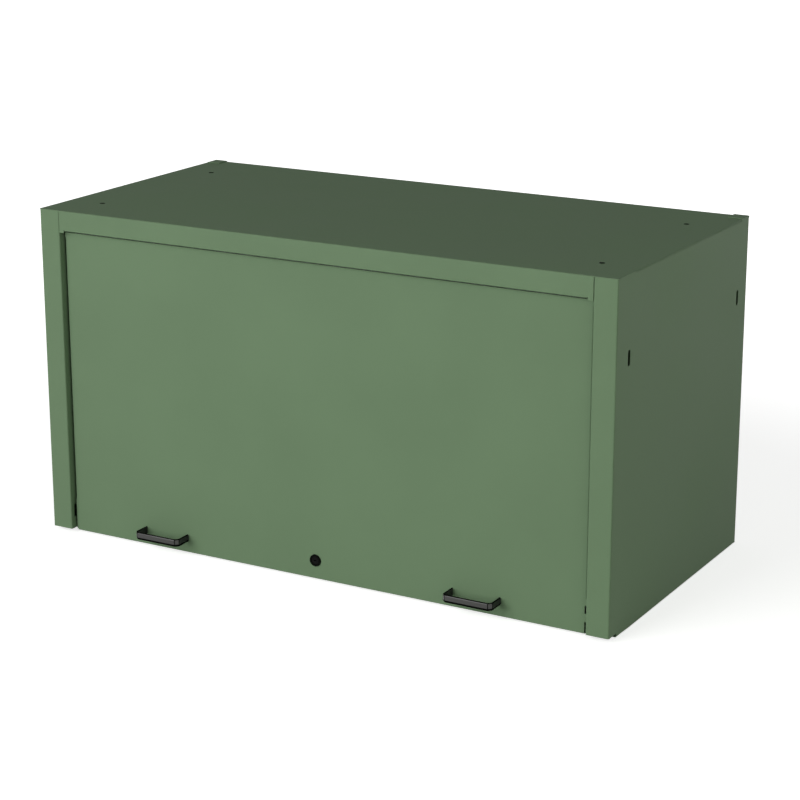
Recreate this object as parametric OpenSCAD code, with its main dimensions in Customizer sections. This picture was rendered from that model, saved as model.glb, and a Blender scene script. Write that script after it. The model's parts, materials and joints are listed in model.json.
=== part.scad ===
/* [Carcass] */
// Width across the two side panels
body_w = 1080; // [900:5:1300]
// Depth from the face of the front posts to the back
body_d = 534.6; // [445.5:0.1:645]
// Height from the surface it stands on to the top sheet
body_h = 580.8; // [480:0.1:700]
// Thickness of the sheet steel
sheet = 1.2; // [1:0.1:1.5]
// Outer radius of a bent edge
bend_r = 2.4; // [2:0.1:3]
// Width of the face of each front post
post_w = 40; // [34:1:60]
// Depth of each front post
post_d = 60; // [56:1:80]
// Height of the foot gap under each front post
post_foot = 7.1; // [4:0.1:10]
// Depth at which the bottom flange of a side panel starts
foot_step = 29.2; // [20:0.1:40]
// Height of the front lintel
lintel_h = 35.3; // [32:0.1:50]
// Width of the bottom flange of a side panel
base_flange = 35; // [30:1:45]
// Width of the top flange of a side panel
top_flange = 25; // [20:1:32]
// Width of the rear flange of a side panel
rear_flange = 25; // [20:1:32]
// Width of the lap tab at each rear top corner
tab_w = 27; // [22:1:34]
// Depth of the lap tab at each rear top corner
tab_d = 28; // [22:1:34]

/* [Holes] */
// Diameter of the bolt holes in the top sheet and the bottom flanges
bolt_hole_d = 8.8; // [6:0.1:11]
// Distance from the side face to the top bolt holes
top_hole_in = 67; // [50:1:90]
// Depth of the front pair of top bolt holes
top_hole_front = 88; // [70:1:110]
// Distance from the back to the rear pair of top bolt holes
top_hole_back = 112.6; // [60:0.1:130]
// Length of the upright slots in the sides
side_slot_l = 26; // [16:1:36]
// Width of the upright slots in the sides
side_slot_w = 8.8; // [6:0.1:11]
// Distance from the top sheet down to the middle of the side slots
side_slot_drop = 132; // [60:1:180]
// Depth of the front side slot
side_slot_front = 47.5; // [40:0.5:55]
// Distance from the back to the rear side slot
side_slot_back = 41; // [32:0.5:60]
// Distance from the post face and from the back to the base bolt holes
base_hole_in = 90; // [70:1:120]

/* [Door] */
// Set-back of the door behind the face of the posts
door_inset = 10.8; // [8:0.1:12]
// Thickness of the door pan from its face to its back edge
door_t = 25; // [24:0.5:28]
// Gap between the door and each post
door_gap = 3.8; // [3:0.1:5]
// Height of the door's bottom edge over the base
door_low = 3.3; // [2.5:0.1:6]
// Gap between the door's top edge and the lintel
door_top_gap = 3.5; // [3:0.1:5]
// Height of the channel that stiffens the bottom of the door
rail_h = 58; // [54:1:70]

/* [Hinge] */
// Radius of the hinge pin
pin_r = 1.6; // [1.5:0.1:1.8]
// Outer radius of the hinge knuckles
knuckle_r = 2.85; // [2.8:0.05:3]
// Number of knuckles along the hinge, an odd number
knuckles = 21; // [11:2:31]
// Height of the hinge pin under the door's top edge
hinge_drop = 4.5; // [4.5:0.1:6]
// Running clearance of the hinge pin, in radius
run_fit = 0.05; // [0.03:0.01:0.08]

/* [Handles] */
// Length of each pull handle over all
handle_l = 90; // [70:1:130]
// Width of the strip that a handle is bent from, up and down
handle_h = 13.5; // [9:0.5:14]
// Thickness of that strip
handle_t = 3; // [2.5:0.1:4]
// Reach of a handle in front of the door
handle_reach = 34.5; // [24:0.5:40]
// Distance of each handle from the middle of the door
handle_x = 301.5; // [220:0.5:380]
// Height of the handles over the base
handle_z = 29.5; // [28:0.5:32]

/* [Lock and lock rods] */
// Height of the lock over the base
lock_z = 36; // [35.5:0.5:38]
// Radius of the lock's face ring
lock_face_r = 10.4; // [10:0.1:11.5]
// Radius on which the cam pins turn
cam_pin_reach = 9; // [8:0.1:9.5]
// Height of the rod bars over the base
rod_z = 43.5; // [42.5:0.5:44.5]
// Height of a rod bar, up and down
rod_h = 10; // [8:0.5:11]

/* [Gas struts] */
// Distance of each strut from the inner face of its post
strut_in = 14; // [13:0.5:16]
// Distance of the upper ball behind the hinge pin
strut_back = 30; // [28:0.5:34]
// Distance of the upper ball under the hinge pin
strut_under = 12; // [11:0.5:15]
// Distance of the lower ball behind the hinge pin, door shut
strut_set = 12; // [11:0.5:12.5]
// Distance of the lower ball under the hinge pin, door shut
strut_drop = 210; // [195:1:240]
// Radius of the strut cylinder
cylinder_r = 7.5; // [7:0.1:8]
// Radius of the strut's piston rod
strut_rod_r = 3; // [2.5:0.1:4]

/* [Hidden] */

$fn = 48;

// Colours
paint = [0.40, 0.51, 0.38];
blacked = [0.08, 0.08, 0.08];
zinc = [0.70, 0.71, 0.70];
nylon = [0.13, 0.13, 0.13];

// One overrun serves every cut, and one gap keeps still faces apart from moving ones
over = 1;
seam = 0.3;
play = 0.3;

// Places in the carcass: depth is counted back from the face of the posts
half_w = body_w / 2;
post_in = half_w - post_w;
wall_top = body_h - sheet;
lip_w = 20;
corner_relief = 4;
tab_from = body_d - tab_d;
tab_top = body_h + sheet;

// The lintel's return, its lip and the little ears at its two ends
lintel_low = body_h - lintel_h;
lintel_back = 26;
lintel_lip = 20;
ear_w = 9.2;
ear_drop = 3;
ear_slope = 1.2;
relief_w = 1;

// The slot that each lock rod enters
rod_slot_front = 8.5;
rod_slot_d = 23.5;
rod_slot_low = 28;
rod_slot_h = 23;

// The top stiffener is a hat section under the middle of the top sheet
hat_w = 34;
hat_brim = 16;
hat_h = 18;
hat_end_gap = 24;

// The back sheet sits inside the rear flanges of the sides and of the top, and is screwed to them
back_face = body_d - sheet;
back_low = 1;
back_flange = 22;
back_edge_gap = 1;
back_flange_half = half_w - rear_flange - back_edge_gap;
screw_r = 1.9;
screw_head_r = 4.2;
screw_head_h = 2.4;
screw_l = 6;
back_screw_in = 13;
back_screw_shares = [0.09, 0.36, 0.64, 0.91];
back_top_screw_shares = [-0.8, -0.4, 0, 0.4, 0.8];

// The door
door_half = post_in - door_gap;
door_face = door_inset;
door_back = door_inset + door_t;
skin_back = door_face + sheet;
door_top = lintel_low - door_top_gap;
flange_top = door_top - hinge_drop * 2;
notch_top = door_low + rail_h;
door_lip = 14;
door_lip_top_share = 0.53;
bottom_lip = 12;
window_low = [1, 34];
window_h = [19, 13];

// The rail along the bottom of the door, open to the lock through a window
rail_end_gap = 16;
rail_back = door_back - bend_r;
rail_window = [60, 40];
rail_window_low = 16;

// Two upright hat sections stiffen the door
rib_w = 30;
rib_brim = 14;
rib_t = 14;
rib_share = 0.46;
rib_top_gap = 34;

// The hinge
hinge_y = skin_back + play + knuckle_r;
hinge_z = door_top - hinge_drop;
hinge_end_gap = 14;
hinge_half = post_in - hinge_end_gap;
knuckle_pitch = 2 * hinge_half / knuckles;
knuckle_gap = 0.4;
leaf_t = 1.2;
moving_leaf_t = play + leaf_t;
moving_leaf_h = 26;
fixed_leaf_top = lintel_low + 17;
hinge_rivet_z = lintel_low + 10;
hinge_rivet_r = 1.6;
hinge_rivet_head_r = 3.2;
hinge_rivet_head_h = 1;
hinge_rivets_n = 8;

// Door stops
stop_z = 96;
stop_h = 34;
stop_t = 1.5;
stop_reach = 18;
stop_depth = 16;
bumper_r = 6;
bumper_t = 2.4;
bumper_gap = 0.2;
bumper_stem_r = 2.5;
bumper_knob_r = 3.6;
bumper_knob_t = 2;
stop_front = door_back + bumper_gap + bumper_t;

// Handles: a strip bent to a U with its corners cut off. A tab at each end passes through the door's skin
// and a plate behind it, and is peened over
handle_corner = 6;
handle_inner_corner = handle_corner - handle_t * (2 - sqrt(2));
handle_tab_step = 2;
handle_tab_h = handle_h - 2 * handle_tab_step;
handle_tab_fit = 0.1;
handle_plate_t = 1.5;
handle_plate_edge = 5;
peen_out = 1;
peen_h = 1.2;

// Lock
lock_barrel_r = 9.4;
lock_ring_t = 2.2;
lock_recess = 0.8;
lock_recess_r = 7.6;
lock_plug_r = 6.5;
lock_back = 21.5;
lock_hole_r = 9.5;
lock_nut_af = 25;
lock_nut_t = 3.5;
key_slot = [6, 1.6, 5];
cam_t = 2;
cam_front = lock_back + seam;
cam_r = 12.5;
cam_pin_r = 2;
cam_square = 7;
cam_screw_r = 4.5;
cam_screw_t = 2.4;
cam_screw_shank = 1.6;
cam_rest = 45;

// Lock rods: flat bars driven by the cam pins through upright slots
rod_t = 3;
rod_front = cam_front + cam_t + cam_screw_t + 2 * play;
rod_tip_gap = 2.6;
yoke_w = 12;
yoke_end = 2.4;
pin_play = 0.4;
jog_in = 20;
jog_l = 24;
pin_high = cam_pin_reach;
pin_low = cam_pin_reach * cos(cam_rest);
pin_x = cam_pin_reach * sin(cam_rest);
pin_mid = (pin_high + pin_low) / 2;
yoke_slot_h = pin_high - pin_low + 2 * (cam_pin_r + pin_play);
yoke_half = yoke_slot_h / 2 + yoke_end;
guide_w = 10;
guide_wall = 4;
guide_end_gap = 24;
guide_share = 0.28;
guide_places = [post_in - guide_end_gap, post_in * guide_share];

// Struts
strut_x = post_in - strut_in;
upper_y = hinge_y + strut_back;
upper_z = hinge_z - strut_under;
lower_y = hinge_y + strut_set;
lower_z = hinge_z - strut_drop;
strut_l = norm([upper_y - lower_y, upper_z - lower_z]);
strut_tilt = atan2(upper_y - lower_y, lower_z - upper_z);
ball_r = 4;
ball_fit = 0.1;
neck_r = 2.4;
socket_r = 6.2;
socket_shank_r = 4.4;
socket_collar_r = 5.2;
socket_collar = 4;
socket_l = 14;
stud_base_r = 6;
stud_base_t = 2.5;
stud_nut_t = 3;
stud_end = 1;
tube_t = 1;
tube_end_t = 4;
tube_share = 0.65;
tube_l = strut_l * tube_share;
strut_guide_t = 8;
strut_guide_gap = 0.1;
piston_t = 5;
piston_share = 0.38;
rod_fit = 0.06;

// Pieces are drawn with depth zero at the face of the posts, and moved so that the part's middle is at zero
front_y = -(body_d + screw_head_h + door_inset - handle_reach) / 2;
module placed() translate([0, front_y, 0]) children();

// Quarter of a ring that joins two legs of a bent sheet, centred on the corner's centre
module quarter_ring() {
    intersection() {
        difference() {
            circle(r = bend_r);
            circle(r = bend_r - sheet);
        }
        square(bend_r);
    }
}

// Outline of a bent sheet: the outer corner at the origin, one leg along x and one along y
module bent(leg_x, leg_y) {
    translate([bend_r, 0]) square([leg_x - bend_r, sheet]);
    translate([0, bend_r]) square([sheet, leg_y - bend_r]);
    translate([bend_r, bend_r]) rotate(180) quarter_ring();
}

// A block given by its low corner and its high corner
module block(low, high) translate(low) cube(high - low);

// A round bar from one depth to another
module bar_y(r, from, to) translate([0, from, 0]) rotate([-90, 0, 0]) cylinder(r = r, h = to - from);

// Outline drawn in x and z, pushed back from one depth to another
module pushed(from, to) translate([0, to, 0]) rotate([90, 0, 0]) linear_extrude(to - from) children();

// An upright slot with round ends through a side wall
module side_slot(depth) {
    straight = side_slot_l - side_slot_w;
    translate([half_w - sheet - over, depth, body_h - side_slot_drop]) {
        for (end = [-1, 1])
            translate([0, 0, end * straight / 2]) rotate([0, 90, 0])
                cylinder(d = side_slot_w, h = sheet + 2 * over);
        translate([0, -side_slot_w / 2, -straight / 2]) cube([sheet + 2 * over, side_slot_w, straight]);
    }
}

// Right side panel: one bent sheet with its post, flanges and lap tab
module side_panel() {
    difference() {
        union() {
            // Post: face, return towards the door and lip
            translate([0, 0, post_foot]) linear_extrude(wall_top - post_foot) {
                translate([half_w, 0]) mirror([1, 0]) bent(post_w / 2, foot_step);
                translate([post_in, 0]) bent(post_w / 2, post_d / 2);
                translate([post_in, post_d]) mirror([0, 1]) bent(lip_w, post_d / 2);
            }
            // Side wall behind the foot step
            block([half_w - sheet, foot_step, bend_r], [half_w, body_d - bend_r, wall_top - bend_r]);
            block([half_w - sheet, foot_step, wall_top - bend_r], [half_w, post_d + corner_relief, wall_top]);
            block([half_w - sheet, tab_from - corner_relief, wall_top - bend_r], [half_w, tab_from, wall_top]);
            // Bottom flange
            translate([0, body_d - corner_relief, 0]) rotate([90, 0, 0])
                linear_extrude(body_d - corner_relief - foot_step)
                    translate([half_w, 0]) mirror([1, 0]) bent(base_flange, base_flange / 2);
            // Top flange under the top sheet
            translate([0, tab_from - corner_relief, wall_top]) rotate([90, 0, 0])
                linear_extrude(tab_from - post_d - 2 * corner_relief)
                    translate([half_w, 0]) mirror([1, 0]) mirror([0, 1]) bent(top_flange, top_flange / 2);
            // Rear flange
            linear_extrude(wall_top) translate([half_w, body_d]) rotate(180) bent(rear_flange, corner_relief);
            // Lap tab over the rear corner of the top sheet
            block([half_w - sheet, tab_from, wall_top - bend_r], [half_w, body_d - bend_r, tab_top - bend_r]);
            translate([0, body_d, tab_top]) rotate([90, 0, 0]) linear_extrude(tab_d)
                translate([half_w, 0]) mirror([1, 0]) mirror([0, 1]) bent(tab_w, bend_r + sheet);
        }
        side_slot(side_slot_front);
        side_slot(body_d - side_slot_back);
        // Slot in the return for the lock rod
        block([post_in - over, rod_slot_front, rod_slot_low],
              [post_in + sheet + over, rod_slot_front + rod_slot_d, rod_slot_low + rod_slot_h]);
        // Bolt holes in the bottom flange
        for (depth = [base_hole_in, body_d - base_hole_in])
            translate([half_w - base_flange / 2, depth, -over])
                cylinder(d = bolt_hole_d, h = sheet + 2 * over);
        // Screw holes in the rear flange
        back_screw_places() bar_y(screw_r + play, back_face - over, body_d + over);
        // Hole for the threaded end of the upper ball stud
        translate([post_in - over, upper_y, upper_z]) rotate([0, 90, 0])
            cylinder(r = neck_r + run_fit, h = sheet + 2 * over);
    }
}

module side_panel_right() color(paint) placed() side_panel();
module side_panel_left() color(paint) placed() mirror([1, 0, 0]) side_panel();

// Places of the screws along one rear flange
module back_screw_places() {
    for (share = back_screw_shares)
        translate([half_w - back_screw_in, 0, body_h * share]) children();
}

// Places of the screws along the rear flange of the top
module back_top_screw_places() {
    for (share = back_top_screw_shares)
        translate([back_flange_half * share, 0, body_h - back_screw_in]) children();
}

// Outline of the lintel's face, with an ear at each end
module lintel_outline() {
    end = post_in - seam;
    polygon([
        [-end, body_h - bend_r], [-end, lintel_low - ear_drop],
        [-end + ear_w - ear_slope, lintel_low - ear_drop], [-end + ear_w, lintel_low - ear_drop + ear_slope],
        [-end + ear_w, lintel_low + bend_r], [end - ear_w, lintel_low + bend_r],
        [end - ear_w, lintel_low - ear_drop + ear_slope], [end - ear_w + ear_slope, lintel_low - ear_drop],
        [end, lintel_low - ear_drop], [end, body_h - bend_r]
    ]);
}

// Top sheet with the lintel bent down at its front
module top_panel() color(paint) placed() {
    lintel_half = post_in - seam - ear_w - relief_w;
    difference() {
        union() {
            block([-half_w, bend_r, wall_top], [half_w, body_d - bend_r, body_h]);
            for (side = [-1, 1]) {
                low = side < 0 ? -half_w : post_in - seam;
                block([low, 0, wall_top], [low + post_w + seam, bend_r, body_h]);
                rear_low = side < 0 ? -half_w : back_flange_half + relief_w;
                block([rear_low, body_d - bend_r, wall_top],
                      [rear_low + half_w - back_flange_half - relief_w, body_d, body_h]);
            }
            // Rear flange bent down behind the back sheet
            translate([-back_flange_half, body_d, body_h]) rotate([90, 0, 90])
                linear_extrude(2 * back_flange_half) rotate(180) bent(2 * bend_r, back_flange);
            // Bend between the top and the lintel
            translate([seam - post_in, 0, body_h]) rotate([90, 0, 90]) linear_extrude(2 * (post_in - seam))
                mirror([0, 1]) bent(2 * bend_r, 2 * bend_r);
            pushed(0, sheet) lintel_outline();
            // Return under the lintel, with its lip turned up
            translate([-lintel_half, 0, lintel_low]) rotate([90, 0, 90]) linear_extrude(2 * lintel_half) {
                bent(lintel_back / 2, lintel_h / 2);
                translate([lintel_back, 0]) mirror([1, 0]) bent(lintel_back / 2 + over, lintel_lip);
            }
        }
        // The lap tabs of the side panels rise through these two notches
        for (side = [-1, 1]) {
            low = side < 0 ? -half_w - over : half_w - bend_r - seam;
            block([low, tab_from - seam, wall_top - over],
                  [low + bend_r + seam + over, body_d + over, body_h + over]);
        }
        for (side = [-1, 1], depth = [top_hole_front, body_d - top_hole_back])
            translate([side * (half_w - top_hole_in), depth, wall_top - over])
                cylinder(d = bolt_hole_d, h = sheet + 2 * over);
        hinge_rivet_places() bar_y(hinge_rivet_r, lintel_back - sheet - over, lintel_back + over);
        back_top_screw_places() bar_y(screw_r + play, back_face - over, body_d + over);
    }
}

// Flat back sheet inside the rear flanges of the sides and of the top
module back_panel() color(paint) placed() {
    half = half_w - bend_r;
    difference() {
        block([-half, back_face - sheet, back_low], [half, back_face, wall_top - bend_r]);
        back_top_screw_places() back_hole();
        for (side = [0, 1])
            mirror([side, 0, 0]) back_screw_places() back_hole();
    }
}

module back_hole() bar_y(screw_r + run_fit, back_face - sheet - over, back_face + over);

// Hat section under the top sheet
module top_stiffener() color(paint) placed() {
    length = 2 * (post_in - hat_end_gap);
    hat = [
        [-hat_w / 2 - hat_brim, 0], [-hat_w / 2 - hat_brim, -sheet], [-hat_w / 2 - sheet, -sheet],
        [-hat_w / 2 - sheet, -hat_h], [hat_w / 2 + sheet, -hat_h], [hat_w / 2 + sheet, -sheet],
        [hat_w / 2 + hat_brim, -sheet], [hat_w / 2 + hat_brim, 0], [hat_w / 2, 0],
        [hat_w / 2, sheet - hat_h], [-hat_w / 2, sheet - hat_h], [-hat_w / 2, 0]
    ];
    translate([-length / 2, body_d / 2, wall_top]) rotate([90, 0, 90]) linear_extrude(length) polygon(hat);
}

// Screws that hold the back sheet to the rear flanges
module back_screws() color(zinc) placed() {
    back_top_screw_places() back_screw();
    for (side = [0, 1])
        mirror([side, 0, 0]) back_screw_places() back_screw();
}

module back_screw() {
    bar_y(screw_r, body_d - screw_l, body_d);
    bar_y(screw_head_r, body_d, body_d + screw_head_h);
}

// Children are drawn at each knuckle of one leaf: the even ones are fixed, the odd ones move
module at_knuckles(first) {
    for (i = [first : 2 : knuckles - 1])
        translate([-hinge_half + i * knuckle_pitch + knuckle_gap / 2, hinge_y, hinge_z]) children();
}

// One knuckle of the hinge, along x from its own start
module knuckle_blank() rotate([0, 90, 0]) cylinder(r = knuckle_r, h = knuckle_pitch - knuckle_gap);

// The bore through all the knuckles
module hinge_bore() {
    translate([-hinge_half - over, hinge_y, hinge_z]) rotate([0, 90, 0])
        cylinder(r = pin_r + run_fit, h = 2 * (hinge_half + over));
}

// Places of the rivets along the fixed leaf
module hinge_rivet_places() {
    for (i = [0 : hinge_rivets_n - 1])
        translate([(i + 0.5) * 2 * hinge_half / hinge_rivets_n - hinge_half, 0, hinge_rivet_z]) children();
}

// Fixed leaf: fingers under the pin, a ledge to the back and a strip up behind the lintel's lip
module hinge_leaf_fixed() color(zinc) placed() {
    ledge_from = hinge_y + knuckle_r + play;
    difference() {
        union() {
            at_knuckles(0) {
                knuckle_blank();
                translate([0, 0, -knuckle_r])
                    cube([knuckle_pitch - knuckle_gap, knuckle_r + play + over, leaf_t]);
            }
            block([-hinge_half, ledge_from, hinge_z - knuckle_r],
                  [hinge_half, lintel_back + leaf_t, hinge_z - knuckle_r + leaf_t]);
            block([-hinge_half, lintel_back, hinge_z - knuckle_r],
                  [hinge_half, lintel_back + leaf_t, fixed_leaf_top]);
        }
        hinge_bore();
        hinge_rivet_places() bar_y(hinge_rivet_r, lintel_back - over, lintel_back + leaf_t + over);
    }
}

// Moving leaf: fingers in front of the pin and a strip down the back of the door's skin
module hinge_leaf_moving() color(zinc) placed() {
    strip_top = hinge_z - knuckle_r - play;
    difference() {
        union() {
            at_knuckles(1) {
                knuckle_blank();
                translate([0, -knuckle_r, -knuckle_r - play - over])
                    cube([knuckle_pitch - knuckle_gap, leaf_t, knuckle_r + play + over]);
            }
            block([-hinge_half, skin_back, hinge_z - moving_leaf_h],
                  [hinge_half, skin_back + moving_leaf_t, strip_top]);
        }
        hinge_bore();
    }
}

// One pin runs through all the knuckles
module hinge_pin() color(zinc) placed() {
    translate([-hinge_half, hinge_y, hinge_z]) rotate([0, 90, 0]) cylinder(r = pin_r, h = 2 * hinge_half);
}

module hinge_rivets() color(zinc) placed() {
    hinge_rivet_places() {
        bar_y(hinge_rivet_r, lintel_back - sheet, lintel_back + leaf_t);
        bar_y(hinge_rivet_head_r, lintel_back + leaf_t, lintel_back + leaf_t + hinge_rivet_head_h);
        bar_y(hinge_rivet_head_r, lintel_back - sheet - hinge_rivet_head_h, lintel_back - sheet);
    }
}

// Angle brackets on the posts that the door's bumpers sit on
module stop_bracket() {
    difference() {
        union() {
            block([post_in - stop_t, stop_front, stop_z], [post_in, stop_front + stop_depth, stop_z + stop_h]);
            block([post_in - stop_reach, stop_front, stop_z], [post_in, stop_front + stop_t, stop_z + stop_h]);
        }
        bumper_place() bar_y(bumper_stem_r + run_fit, stop_front - over, stop_front + stop_t + over);
    }
}

module bumper_place() translate([post_in - stop_reach / 2 - stop_t / 2, 0, stop_z + stop_h / 2]) children();

module door_stop_brackets() color(paint) placed() {
    for (side = [0, 1]) mirror([side, 0, 0]) stop_bracket();
}

module door_bumpers() color(blacked) placed() {
    for (side = [0, 1]) mirror([side, 0, 0]) bumper_place() {
        bar_y(bumper_r, stop_front - bumper_t, stop_front);
        bar_y(bumper_stem_r, stop_front, stop_front + stop_t);
        bar_y(bumper_knob_r, stop_front + stop_t, stop_front + stop_t + bumper_knob_t);
    }
}

// Half the outline of a ball at the origin, with its neck along y
module ball_and_neck(ball, neck, reach) {
    intersection() {
        union() {
            circle(r = ball);
            square([neck, reach]);
        }
        translate([0, -ball]) square([ball, ball + reach]);
    }
}

// Ball stud turned about x: its ball at the origin and its neck out to the face it is fixed to
module ball_stud(neck_l, base_t, through) {
    rotate([0, 90, 0]) rotate_extrude() {
        ball_and_neck(ball_r, neck_r, neck_l + through);
        if (base_t > 0) translate([0, neck_l - base_t]) square([stud_base_r, base_t]);
    }
}

// Studs on the posts, with their nuts behind the sheet
module carcass_ball_studs() color(zinc) placed() {
    for (side = [0, 1]) mirror([side, 0, 0]) translate([strut_x, upper_y, upper_z]) {
        ball_stud(strut_in, stud_base_t, sheet + stud_nut_t);
        translate([strut_in + sheet, 0, 0]) rotate([0, 90, 0])
            cylinder(r = stud_base_r, h = stud_nut_t, $fn = 6);
    }
}

// Side flange of the door's pan, right side: it stops above the rail for the lock rod
module door_side() {
    translate([door_half, door_face, notch_top]) linear_extrude(flange_top - notch_top)
        mirror([1, 0]) bent(2 * bend_r, door_t);
    lip_top = door_low + (door_top - door_low) * door_lip_top_share;
    block([door_half - door_lip, door_back - sheet, notch_top], [door_half, door_back, lip_top]);
    block([door_half - 2 * bend_r, door_face, door_low + bend_r], [door_half, skin_back, notch_top]);
    block([door_half - 2 * bend_r, door_face, flange_top], [door_half, skin_back, door_top]);
}

// Outer skin of the door: a pan with its face to the front
module door_skin() color(paint) placed() {
    flat_half = door_half - bend_r;
    difference() {
        union() {
            block([-flat_half, door_face, door_low + bend_r], [flat_half, skin_back, door_top]);
            door_side();
            mirror([1, 0, 0]) door_side();
            // Bottom flange with its lip turned up
            translate([-flat_half, door_face, door_low]) rotate([90, 0, 90]) linear_extrude(2 * flat_half) {
                bent(door_t / 2, 2 * bend_r);
                translate([door_t, 0]) mirror([1, 0]) bent(door_t / 2 + over, bottom_lip);
            }
        }
        // Windows in the right edge beside the lock rod
        for (i = [0, 1])
            block([door_half - bend_r - sheet / 2, door_face - over, door_low + window_low[i]],
                  [door_half + over, skin_back + over, door_low + window_low[i] + window_h[i]]);
        translate([0, 0, lock_z]) bar_y(lock_hole_r, door_face - over, skin_back + over);
        for (side = [-1, 1]) handle_tab_places(side) tab_hole();
        // Screw holes for the bases of the strut studs
        for (side = [0, 1]) mirror([side, 0, 0])
            translate([door_half - sheet - over, lower_y, lower_z]) rotate([0, 90, 0])
                cylinder(r = neck_r + run_fit, h = sheet + 2 * over);
    }
}

// Channel along the bottom of the door, round the lock rods
module door_bottom_rail() color(paint) placed() {
    half = door_half - rail_end_gap;
    low = door_low + sheet;
    high = notch_top + sheet;
    difference() {
        union() {
            block([-half, rail_back - sheet, low], [half, rail_back, high]);
            block([-half, skin_back, high - sheet], [half, rail_back, high]);
            block([-half, skin_back, high - sheet], [half, skin_back + sheet, high + bottom_lip]);
        }
        block([-rail_window[0] / 2, rail_back - sheet - over, rail_window_low],
              [rail_window[0] / 2, rail_back + over, rail_window_low + rail_window[1]]);
    }
}

// Upright hat sections between the rail and the hinge
module door_stiffeners() color(paint) placed() {
    hat = [
        [-rib_w / 2 - rib_brim, 0], [-rib_w / 2 - rib_brim, sheet], [-rib_w / 2 - sheet, sheet],
        [-rib_w / 2 - sheet, rib_t], [rib_w / 2 + sheet, rib_t], [rib_w / 2 + sheet, sheet],
        [rib_w / 2 + rib_brim, sheet], [rib_w / 2 + rib_brim, 0], [rib_w / 2, 0],
        [rib_w / 2, rib_t - sheet], [-rib_w / 2, rib_t - sheet], [-rib_w / 2, 0]
    ];
    low = notch_top + sheet + bottom_lip + seam;
    for (side = [-1, 1])
        translate([side * door_half * rib_share, skin_back, low])
            linear_extrude(door_top - rib_top_gap - low) polygon(hat);
}

// Children are drawn at the two end tabs of a handle
module handle_tab_places(side) {
    for (end = [-1, 1])
        translate([side * handle_x + end * (handle_l - handle_t) / 2, 0, handle_z]) children();
}

// A flat block that is centred on a tab and reaches past it by a margin
module at_tab(margin, from, to) {
    block([-handle_t / 2 - margin, from, -handle_tab_h / 2 - margin],
          [handle_t / 2 + margin, to, handle_tab_h / 2 + margin]);
}

module tab_hole() at_tab(handle_tab_fit, door_face - over, skin_back + handle_plate_t + over);

// Outline of a handle from above: a U of strip with cut corners
module handle_outline() {
    half = handle_l / 2;
    inner = half - handle_t;
    strip_back = handle_t - handle_reach;
    polygon([
        [-half, 0], [-half, handle_corner - handle_reach], [handle_corner - half, -handle_reach],
        [half - handle_corner, -handle_reach], [half, handle_corner - handle_reach], [half, 0],
        [inner, 0], [inner, strip_back + handle_inner_corner], [inner - handle_inner_corner, strip_back],
        [handle_inner_corner - inner, strip_back], [-inner, strip_back + handle_inner_corner], [-inner, 0]
    ]);
}

module handle(side) {
    plate_back = skin_back + handle_plate_t;
    translate([side * handle_x, door_face, handle_z - handle_h / 2]) linear_extrude(handle_h) handle_outline();
    handle_tab_places(side) {
        at_tab(0, door_face - over, plate_back + peen_h);
        at_tab(peen_out, plate_back, plate_back + peen_h);
    }
}

module handle_left() color(blacked) placed() handle(-1);
module handle_right() color(blacked) placed() handle(1);

// Plates behind the door's skin that the handles' tabs are peened over
module handle_plates() color(zinc) placed() {
    half_l = handle_l / 2 + handle_plate_edge;
    half_h = handle_h / 2 + handle_plate_edge;
    for (side = [-1, 1]) difference() {
        block([side * handle_x - half_l, skin_back, handle_z - half_h],
              [side * handle_x + half_l, skin_back + handle_plate_t, handle_z + half_h]);
        handle_tab_places(side) tab_hole();
    }
}

// Lock housing: a face ring and a barrel through the door's skin
module lock_body() color(blacked) placed() translate([0, 0, lock_z]) {
    difference() {
        union() {
            bar_y(lock_face_r, door_face - lock_ring_t, door_face);
            bar_y(lock_barrel_r, door_face - over, lock_back);
        }
        bar_y(lock_recess_r, door_face - lock_ring_t - over, door_face - lock_ring_t + lock_recess);
        bar_y(lock_plug_r + run_fit, door_face - lock_ring_t - over, lock_back + over);
    }
}

module lock_nut() color(zinc) placed() translate([0, 0, lock_z]) {
    difference() {
        translate([0, skin_back, 0]) rotate([-90, 0, 0])
            cylinder(d = lock_nut_af / cos(30), h = lock_nut_t, $fn = 6);
        bar_y(lock_barrel_r, skin_back - over, skin_back + lock_nut_t + over);
    }
}

// Key plug that turns in the barrel, with its key slot level
module lock_plug() color(blacked) placed() translate([0, 0, lock_z]) {
    front = door_face - lock_ring_t + lock_recess;
    difference() {
        union() {
            bar_y(lock_plug_r, front, cam_front);
            translate([0, cam_front + cam_t / 2, 0]) cube([cam_square, cam_t, cam_square], center = true);
        }
        translate([0, front + key_slot[2] / 2 - over / 2, 0])
            cube([key_slot[0], key_slot[2] + over, key_slot[1]], center = true);
        bar_y(cam_screw_shank, cam_front - 2 * cam_t, cam_front + cam_t + over);
    }
}

// Cam disc with the two pins that drive the rods
module lock_cam() color(zinc) placed() translate([0, 0, lock_z]) {
    difference() {
        union() {
            bar_y(cam_r, cam_front, cam_front + cam_t);
            for (turn = [0, 180])
                rotate([0, turn - cam_rest, 0]) translate([0, 0, cam_pin_reach])
                    bar_y(cam_pin_r, cam_front, rod_front + rod_t + play);
        }
        translate([0, cam_front + cam_t / 2, 0])
            cube([cam_square + 2 * run_fit, cam_t + 2 * over, cam_square + 2 * run_fit], center = true);
    }
}

module cam_screw() color(zinc) placed() translate([0, 0, lock_z]) {
    bar_y(cam_screw_r, cam_front + cam_t, cam_front + cam_t + cam_screw_t);
    bar_y(cam_screw_shank - run_fit, cam_front - cam_t, cam_front + cam_t);
}

// Slot of a yoke at the pin's rest place: the pin is high for one rod and low for the other
module yoke_slot(pin_side) {
    translate([-pin_side * pin_x, lock_z + pin_side * pin_mid])
        square([2 * (cam_pin_r + pin_play), yoke_slot_h], center = true);
}

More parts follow.
